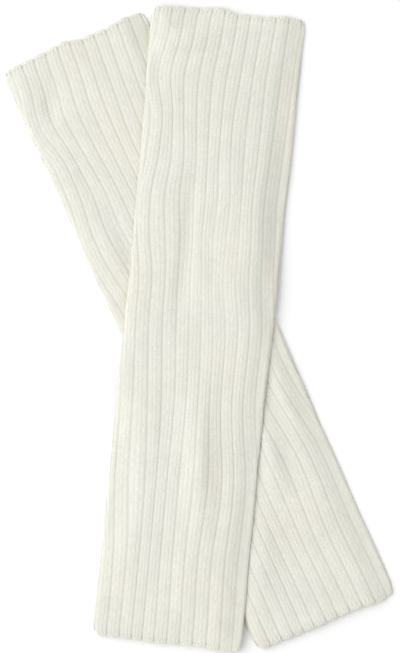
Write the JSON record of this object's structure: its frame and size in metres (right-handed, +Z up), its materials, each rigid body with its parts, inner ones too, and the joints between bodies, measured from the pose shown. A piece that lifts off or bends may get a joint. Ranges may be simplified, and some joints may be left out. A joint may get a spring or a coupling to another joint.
{
  "type": "pair of leg warmers",
  "caption": "Pair of long rib-knit leg warmers in ivory wool, flat knitted tubes laid crossed on a surface.",
  "frame": {"origin": "on the surface that the pair lies on, under the middle of its bounding box", "axes": "+Y towards the top hems, +X to the right seen from above, +Z up from the surface"},
  "size_m": [0.3682, 0.6136, 0.0169],
  "materials": {
    "ivory_rib_knit": "matte soft wool, wide rib knit"
  },
  "bodies": {
    "root": {"leg_warmer_over": "ivory_rib_knit", "leg_warmer_under": "ivory_rib_knit"}
  },
  "joints": []
}
